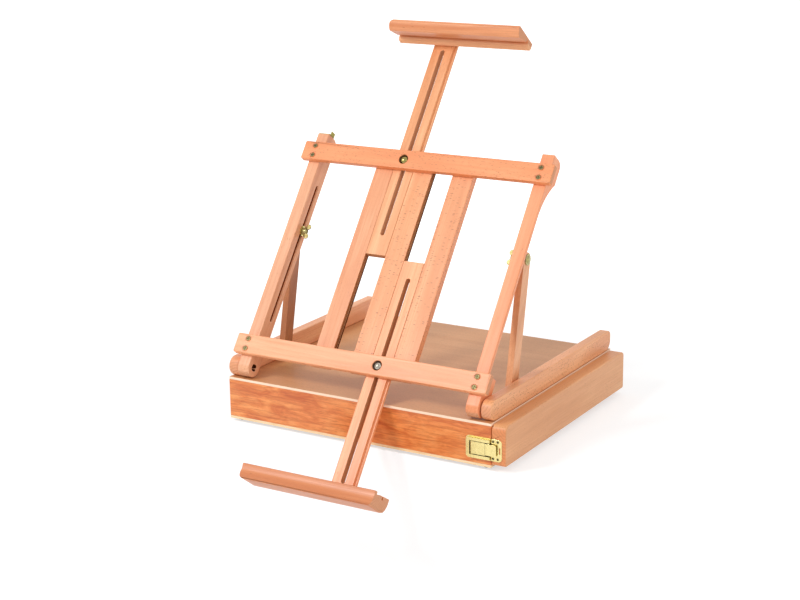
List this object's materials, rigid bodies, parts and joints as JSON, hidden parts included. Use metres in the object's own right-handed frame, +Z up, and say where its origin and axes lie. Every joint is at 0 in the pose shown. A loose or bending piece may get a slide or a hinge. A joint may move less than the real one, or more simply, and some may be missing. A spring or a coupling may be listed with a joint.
{
  "type": "table box easel",
  "caption": "Flat wooden box with an end drawer and a tilting frame on top; sliding masts carry a ledge and a top holder, and slotted props with wing nuts set the lean.",
  "frame": {"origin": "under the middle of the box body (without the drawer front), on the plane that the glides stand on", "axes": "X to the right, where the drawer comes out; Y to the back, the way the frame folds down; Z up"},
  "size_m": [0.42, 0.4929, 0.5618],
  "materials": {
    "beech_frame": "clear satin varnish on planed steamed beech",
    "beech_box": "clear satin varnish on planed steamed beech",
    "red_beech_front": "glossier reddish varnish, flat-sawn figure",
    "plywood": "smooth varnished beech-faced plywood with pale edges",
    "drawer_wood": "bare pale softwood",
    "brass": "pressed and turned brass-plated steel, polished",
    "bright_steel": "nickel-plated steel",
    "dark_plastic": "matt nylon glide"
  },
  "bodies": {
    "box": {"bottom_panel": "plywood", "top_panel": "plywood", "front_panel": "red_beech_front", "back_panel": "beech_box", "left_end_panel": "beech_box", "drawer_runners": "drawer_wood", "drawer_stop": "drawer_wood", "left_rail": "beech_box", "right_rail": "beech_box", "rail_screws": "bright_steel", "glide_feet": "dark_plastic", "pivot_bolts": "bright_steel", "pivot_washers": "bright_steel", "latch_base": "brass", "latch_pin": "brass", "latch_screws": "brass"},
    "drawer": {"drawer_front": "beech_box", "drawer_near_side": "drawer_wood", "drawer_far_side": "drawer_wood", "drawer_inner_end": "drawer_wood", "drawer_bottom": "plywood", "drawer_long_divider": "drawer_wood", "drawer_cross_dividers": "drawer_wood", "latch_catch": "brass", "catch_screws": "brass"},
    "latch": {"latch_leaf": "brass", "latch_hook": "brass"},
    "frame": {"left_upright": "beech_frame", "right_upright": "beech_frame", "lower_crossbar": "beech_frame", "upper_crossbar": "beech_frame", "crossbar_screws": "brass", "left_guide_board": "beech_frame", "middle_guide_board": "beech_frame", "right_guide_board": "beech_frame", "board_screws": "brass", "upper_clamp_bolt": "brass", "lower_clamp_bolt": "bright_steel", "clamp_washers": "brass", "fold_catch": "brass"},
    "upper_clamp": {"upper_clamp_nut": "brass"},
    "lower_clamp": {"lower_clamp_nut": "brass"},
    "upper_mast_slide": {"upper_mast": "beech_frame", "top_holder": "beech_frame", "holder_screws": "brass"},
    "lower_mast_slide": {"lower_mast": "beech_frame", "canvas_ledge": "beech_frame", "ledge_screws": "brass"},
    "left_bolt": {"left_prop_bolt": "brass", "left_prop_washer": "brass"},
    "right_bolt": {"right_prop_bolt": "brass", "right_prop_washer": "brass"},
    "left_prop_arm": {"left_prop": "beech_frame", "left_foot_screw": "brass"},
    "right_prop_arm": {"right_prop": "beech_frame", "right_foot_screw": "brass"},
    "left_wing": {"left_wing_nut": "brass"},
    "right_wing": {"right_wing_nut": "brass"}
  },
  "joints": [
    {"name": "frame_tilt", "type": "hinge", "parent": "box", "child": "frame", "pos_m": [0, -0.17, 0.077], "axis": [-1, 0, 0], "range_deg": [-8, 53.18]},
    {"name": "drawer_slide", "type": "slide", "parent": "box", "child": "drawer", "axis": [1, 0, 0], "range_m": [0, 0.35]},
    {"name": "latch_swing", "type": "hinge", "parent": "box", "child": "latch", "pos_m": [0.17335, -0.1824, 0.0285], "axis": [0, 0, -1], "range_deg": [0, 105]},
    {"name": "upper_mast_height", "type": "slide", "parent": "frame", "child": "upper_mast_slide", "axis": [0, 0.5993, 0.8005], "range_m": [-0.16, 0.105]},
    {"name": "lower_mast_height", "type": "slide", "parent": "frame", "child": "lower_mast_slide", "axis": [0, 0.5993, 0.8005], "range_m": [-0.12, 0.145]},
    {"name": "upper_clamp_turn", "type": "hinge", "parent": "frame", "child": "upper_clamp", "pos_m": [-0.0302, 0.01998, 0.33077], "axis": [0, 0.8005, -0.5993], "range_deg": [-180, 180]},
    {"name": "lower_clamp_turn", "type": "hinge", "parent": "frame", "child": "lower_clamp", "pos_m": [0.0302, -0.1546, 0.09757], "axis": [0, 0.8005, -0.5993], "range_deg": [-180, 180]},
    {"name": "left_bolt_slide", "type": "slide", "parent": "frame", "child": "left_bolt", "axis": [0, 0.5993, 0.8005], "range_m": [-0.0086, 0.05604]},
    {"name": "left_prop_swing", "type": "hinge", "parent": "left_bolt", "child": "left_prop_arm", "pos_m": [-0.175, -0.04514, 0.23961], "axis": [-1, 0, 0], "range_deg": [-3.93, 24.99]},
    {"name": "left_wing_turn", "type": "hinge", "parent": "left_bolt", "child": "left_wing", "pos_m": [-0.16, -0.04514, 0.23961], "axis": [1, 0, 0], "range_deg": [-180, 180]},
    {"name": "right_bolt_slide", "type": "slide", "parent": "frame", "child": "right_bolt", "axis": [0, 0.5993, 0.8005], "range_m": [-0.0086, 0.05604]},
    {"name": "right_prop_swing", "type": "hinge", "parent": "right_bolt", "child": "right_prop_arm", "pos_m": [0.175, -0.04514, 0.23961], "axis": [-1, 0, 0], "range_deg": [-3.93, 24.99]},
    {"name": "right_wing_turn", "type": "hinge", "parent": "right_bolt", "child": "right_wing", "pos_m": [0.16, -0.04514, 0.23961], "axis": [1, 0, 0], "range_deg": [-180, 180]}
  ],
  "couplings": [
    {"joint": "left_bolt_slide", "follows": "frame_tilt", "m_per_rad": 0.06016},
    {"joint": "left_prop_swing", "follows": "frame_tilt", "ratio": 0.4662},
    {"joint": "right_bolt_slide", "follows": "frame_tilt", "m_per_rad": 0.06016},
    {"joint": "right_prop_swing", "follows": "frame_tilt", "ratio": 0.4662}
  ]
}
